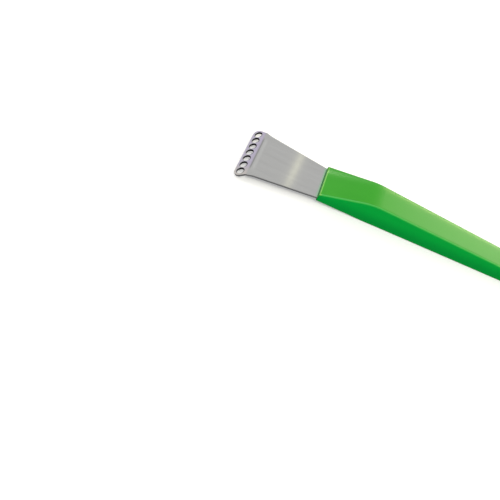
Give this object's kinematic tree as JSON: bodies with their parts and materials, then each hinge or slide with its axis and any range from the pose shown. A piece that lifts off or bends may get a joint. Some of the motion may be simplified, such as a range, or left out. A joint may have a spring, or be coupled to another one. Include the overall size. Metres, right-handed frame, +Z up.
{
  "type": "citrus zester",
  "caption": "Hand zester: a thin steel blade whose bent, flared end has a row of round cutting holes, moulded into a tapering faceted plastic handle.",
  "frame": {"origin": "on the table under the middle of the tool's length, on its centre line", "axes": "+X from the blade's lip to the handle's tail, +Y across the blade, +Z up from the flat underside of the handle"},
  "size_m": [0.1613, 0.0282, 0.0107],
  "materials": {
    "blade_steel": "satin-polished stainless steel sheet",
    "handle_plastic": "leaf-green moulded plastic with a soft gloss"
  },
  "bodies": {
    "root": {"blade": "blade_steel", "handle": "handle_plastic"}
  },
  "joints": []
}
